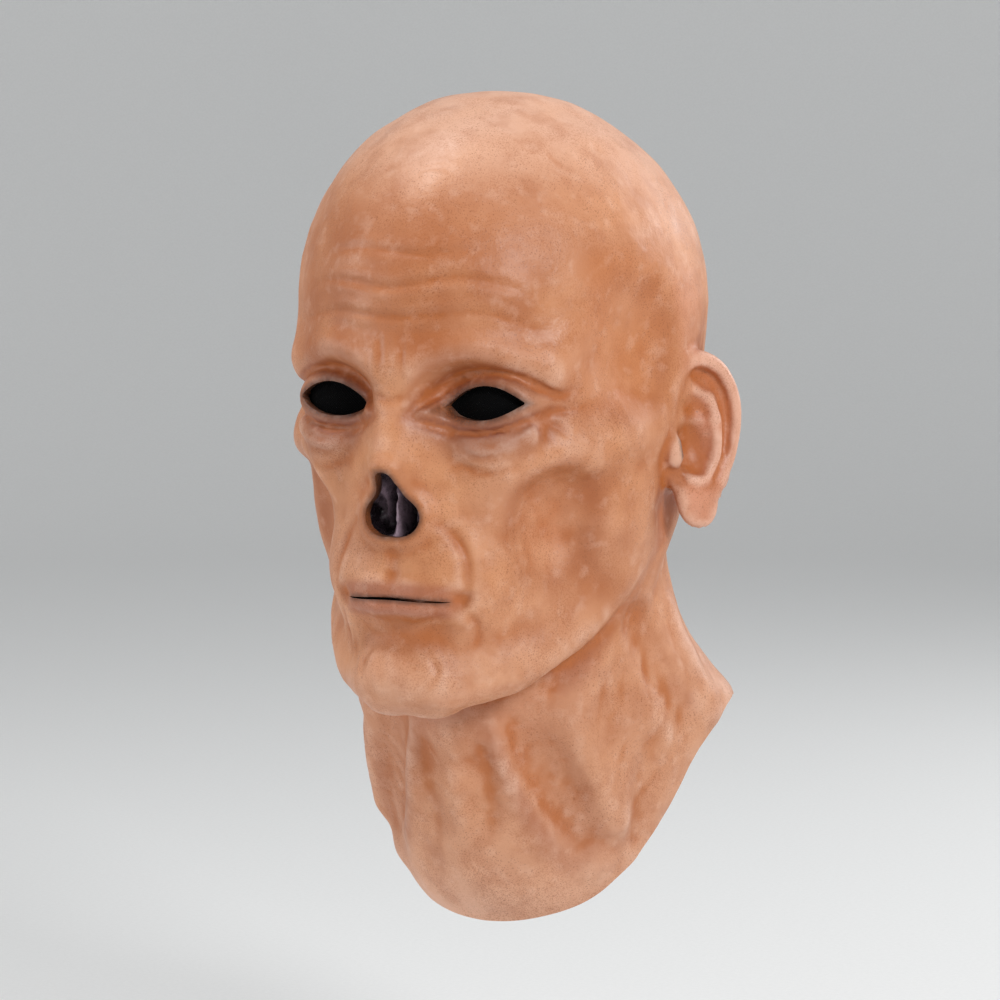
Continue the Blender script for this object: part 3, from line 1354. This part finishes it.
def band(name, path, half, middle, height, materials):
    """Webbing along a path of x and height off the skin, across a height in z."""
    path = np.asarray(path, float)
    ahead = np.gradient(path, axis=0)
    ahead /= np.linalg.norm(ahead, axis=1)[:, None]
    normal = np.column_stack((-ahead[:, 1], ahead[:, 0]))
    across = np.array((-1, -0.975, -0.92, -0.6, -0.2, 0.2, 0.6, 0.92, 0.975, 1)) * height / 2
    thin = np.array((0.3, 0.75, 1, 1, 1, 1, 1, 1, 0.75, 0.3)) * half
    run = np.append(0, np.cumsum(np.linalg.norm(np.diff(path, axis=0), axis=1)))
    points, coords = [], []
    for sign in (1, -1):
        for spot, off, s in zip(path, normal, run):
            for v, t in zip(across, thin):
                x, lift = spot + off * t * sign
                points.append((x, middle + v, lift))
                coords.append((s, v))
    n, m = len(path), len(across)
    faces = []
    for i in range(n - 1):
        for j in range(m - 1):
            a = i * m + j
            b = n * m + a
            faces += [(a, a + 1, a + m + 1, a + m), (b, b + m, b + m + 1, b + 1)]
        for j in (0, m - 1):
            a = i * m + j
            faces.append((a, a + m, n * m + a + m, n * m + a))
    for i in (0, n - 1):
        for j in range(m - 1):
            a = i * m + j
            faces.append((a, a + 1, n * m + a + 1, n * m + a))
    return closed_piece(name, on_nape(points), faces, materials, coords)


def strap_path():
    """From the strap's tip, over its fold, round its root and back beneath the anchor."""
    bend = np.arange(FOLD_X - BEND / 2 - 0.6, FOLD_X + BEND / 2 + 0.7, 0.3)
    beyond = np.arange(bend[-1] + 1, STRAP_ROOT - 1.2, 1.5)
    xs = np.concatenate((np.arange(STRAP_TIP, bend[0], 1.5), bend, beyond))
    radius = (TOP_LAYER - LOW_LAYER) / 2
    turn = np.linspace(math.pi / 2, -math.pi / 2, 9)
    root = STRAP_ROOT - STRAP_HALF - radius
    xs = xs[xs < root - 0.4]
    middle = (TOP_LAYER + LOW_LAYER) / 2
    fold = np.column_stack((root + radius * np.cos(turn), middle + radius * np.sin(turn)))
    under = np.arange(root - 1.5, ANCHOR_START, -1.5)
    return np.concatenate((np.column_stack((xs, np.full(len(xs), TOP_LAYER))), fold,
                           np.column_stack((under, np.full(len(under), LOW_LAYER)))))


def threaded(piece, runs, thread):
    """The piece with its stitching joined to it."""
    parts = [piece]
    for number, (points, faces) in enumerate(runs):
        parts.append(thing(f"thread_{number}", points, faces, [thread]))
    return joined(piece.name, parts)


def box_path(x0, x1, z0, z1, crossed):
    """A rectangle, with its diagonals if crossed."""
    corners = [(x0, z0), (x1, z0), (x1, z1), (x0, z1), (x0, z0)]
    paths = [corners[k:k + 2] for k in range(4)]
    return paths + ([[(x0, z0), (x1, z1)], [(x0, z1), (x1, z0)]] if crossed else [])


def build_strap(side, materials, hook, loop, thread):
    """One closure strap with its stitching, and its hook and loop tapes."""
    z = middle_of(f"{side}_strap")[2]
    lift = TOP_LAYER + STRAP_HALF + 0.12
    strap = band(f"{side}_closure_strap", strap_path(), STRAP_HALF, z, STRAP_HEIGHT, [materials])
    sewn = box_path(15.2, 31.2, z - 8.4, z + 8.4, False)
    sewn += box_path(TAPE_X[0] + 1, TAPE_X[1] - 1, z - 8.6, z + 8.6, False)
    runs = [stitches(path, lift, on_nape) for path in sewn]
    strap = threaded(strap, runs, thread)
    xs = np.arange(TAPE_X[0], TAPE_X[1] + 0.1, 1.25)
    tapes = []
    for kind, lift, made in (("hook", 1.8, hook), ("loop", 0.7, loop)):
        half = 0.4 if kind == "hook" else 0.5
        path = np.column_stack((xs, np.full(len(xs), lift)))
        tape = band(f"{side}_{kind}_tape", path, half, z, 20.0, [made])
        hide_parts(f"{side}_{kind}_patch")
        tapes.append(tape)
    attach(tapes[0], f"{side}_strap_end")
    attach(tapes[1], "mask")
    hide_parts(f"{side}_strap", f"{side}_strap_anchor")
    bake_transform(strap)


def settle_piece(piece, part):
    """A fitting that stands for a CAD node on the mask."""
    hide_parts(part)
    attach(piece, "mask")


def lumpy(amount, size, seed):
    """The unevenness of foam over a flat outline."""
    return lambda flat: amount * noise(np.column_stack((flat, flat[:, 0] * 0)), size, seed)


def build_label(back):
    """The blank label with its stitched border, sewn into the back of the neck."""

    def on_lining(points):
        base = np.array([back(x, z) for x, z, lift in points])
        return base + inward(base) * points[:, 2:]

    satin = cloth_material("white_satin", tone(232, 229, 220), 1500, 1500, 0.00006, 0.5, 0.2)
    thread = plain_material("pale_thread", tone(205, 200, 188), 900)
    piece = fitted("blank_label", oval(28, 20, 64, 12) + (-37, 150), back, 0.6, 12, satin)
    border = box_path(-49.5, -24.5, 141.6, 158.4, False)
    runs = [stitches(path, GLUE + 0.72, on_lining) for path in border]
    settle_piece(threaded(piece, runs, thread), "care_label")


def plate(name, metal):
    """A CAD node finished in metal."""
    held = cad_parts[name]
    if not held.material_slots:
        held.data.materials.append(metal)
    for slot in held.material_slots:
        slot.link = "OBJECT"
        slot.material = metal


def build_fittings(lining):
    """Everything inside the skin."""

    def front(x, z):
        return cast(lining, (x, -20, z), (0, -1, 0))

    def back(x, z):
        return cast(lining, (x, 20, z), (0, 1, 0))

    def above(x, y):
        return cast(lining, (x, y, 250), (0, 0, 1))

    mesh = cloth_material("black_mesh", tone(6, 6, 7), 900, 900, 0.0003, 0.95, 0.0, shine=0.1)
    foam = foam_material()
    knit = cloth_material("black_knit", tone(44, 44, 47), 700, 500, 0.0003, twill=True)
    settle_piece(nasal_cup(front, liner_material()), "nasal_liner")
    for side, sign in (("left", 1), ("right", -1)):
        centre = middle_of(f"eye_screen_{side}")[[0, 2]]
        piece = fitted(f"eye_mesh_{side}", oval(43, 25, 56) + centre, front, 0.6, 14, mesh)
        settle_piece(piece, f"eye_screen_{side}")

        def beside(y, z, sign=sign):
            return cast(lining, (0, y, z), (sign, 0, 0))

        outline = oval(44, 34, 64, 4.5) + (-28, middle_of(f"temple_pad_{side}")[2])
        piece = fitted(f"temple_foam_{side}", outline, beside, 7.6, 18, foam, 0.3, lumpy(0.35, 9, 41))
        settle_piece(piece, f"temple_pad_{side}")
    piece = fitted("mouth_mesh", oval(58, 18, 64, 4) + (0, MOUTH_Z), front, 0.6, 12, mesh)
    settle_piece(piece, "mouth_screen")
    outline = oval(88, 30, 88, 5) + (0, middle_of("forehead_pad")[2])
    piece = fitted("forehead_foam", outline, front, 7.6, 20, foam, 0.34, lumpy(0.4, 11, 42))
    settle_piece(piece, "forehead_pad")
    outline = oval(72, 72, 72) + middle_of("crown_pad")[:2]
    piece = fitted("crown_foam", outline, above, 7.6, 22, foam, 0.28, lumpy(0.4, 11, 42))
    settle_piece(piece, "crown_pad")
    outline = oval(36, 28, 56, 5) + (0, middle_of("slit_patch")[2])
    piece = fitted("slit_backing", outline, back, 0.8, 12, knit)
    settle_piece(piece, "slit_patch")
    low, high = (corner.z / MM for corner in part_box("under_flap"))
    outline = oval(34, high - low - 1, 96, 9) + (0, (low + high) / 2)
    piece = fitted("slit_flap", outline, back, 1.0, 30, knit)
    settle_piece(piece, "under_flap")
    build_label(back)

    webbing = cloth_material("black_webbing", tone(34, 34, 37), 520, 640, 0.0005)
    hook = pile_material("hook_pile", tone(26, 26, 29), 900, 0.0006)
    loop = pile_material("loop_pile", tone(36, 36, 40), 500, 0.0009)
    thread = plain_material("dark_thread", tone(60, 58, 56), 900)
    for side in ("upper", "lower"):
        build_strap(side, webbing, hook, loop, thread)
    brass = metal_material("antique_brass", tone(190, 152, 88), 0.34, tone(112, 82, 50), (1, 1, 6))
    plate("strap_rivets", brass)
    steel = metal_material("zinc_plate", tone(186, 189, 194), 0.38, tone(138, 140, 142), (6, 1, 1))
    plate("rivet_washers", steel)


# --- Stage
AIM = Vector((0.0, 0.0, 0.1825))
AZIMUTH, ELEVATION, DISTANCE = math.radians(25), math.radians(6), 1.5
LENS, SENSOR = 125.1, 36.0  # millimetres
FLOOR_Z = -0.12


def build_stage():
    """A pale floor that curves up all round, open above, and seen through from outside."""
    profile = [(0.02, 0.0), (1.0, 0.0), (2.3, 0.0)]
    profile += [(2.3 + 0.9 * math.sin(t), 0.9 - 0.9 * math.cos(t)) for t in np.linspace(0.1, math.pi / 2, 14)]
    profile += [(3.2, 1.8)]
    count = 72
    turns = np.arange(count) * 2 * math.pi / count
    points = [(r * math.cos(t), r * math.sin(t), FLOOR_Z + rise) for r, rise in profile for t in turns]
    faces = []
    for k in range(0, (len(profile) - 1) * count, count):
        for j in range(count):
            ahead = (j + 1) % count
            faces.append((k + j, k + count + j, k + count + ahead, k + ahead))
    faces.append(tuple(range(count)))
    floor = thing("floor", np.array(points) / MM, faces, [paper_material()])


def lamp(name, place, power, size, colour=(1, 1, 1)):
    """A soft square lamp aimed at the mask."""
    light = bpy.data.lights.new(name, "AREA")
    light.energy, light.size, light.color = power, size, colour
    lit = bpy.data.objects.new(name, light)
    bpy.context.scene.collection.objects.link(lit)
    lit.location = place
    lit.rotation_euler = (AIM - Vector(place)).to_track_quat("-Z", "Y").to_euler()


def build_lights():
    """A soft key, a lamp above, a fill from the other side, one behind, and a dim surround."""
    lamp("key", (1.3, -0.75, 1.0), 15.5, 0.4)
    lamp("top", (-0.42, -0.32, 1.7), 10, 0.5)
    lamp("side", (-1.25, -0.85, 0.5), 5.5, 0.7)
    lamp("back", (0.7, 1.3, 0.8), 9, 0.8)
    world = bpy.data.worlds.new("surround")
    world.use_nodes = True
    world.node_tree.nodes["Background"].inputs[0].default_value = (0.93, 0.94, 0.95, 1)
    world.node_tree.nodes["Background"].inputs[1].default_value = 0.3
    bpy.context.scene.world = world


def build_camera():
    """The photograph's view: a long lens, a little above the mask's middle."""
    lens = bpy.data.cameras.new("camera")
    lens.lens, lens.sensor_width = LENS, SENSOR
    camera = bpy.data.objects.new("camera", lens)
    bpy.context.scene.collection.objects.link(camera)
    flat = math.cos(ELEVATION) * DISTANCE
    rise = math.sin(ELEVATION) * DISTANCE
    camera.location = AIM + Vector((math.sin(AZIMUTH) * flat, -math.cos(AZIMUTH) * flat, rise))
    camera.rotation_euler = (AIM - camera.location).to_track_quat("-Z", "Y").to_euler()
    bpy.context.scene.camera = camera
    bpy.context.scene.view_settings.view_transform = "Standard"


skin_piece, closed_lining = build_skin(latex_material(), raw_latex_material())
settle_piece(skin_piece, "mask_skin")
build_fittings(closed_lining)
build_stage()
build_lights()
build_camera()
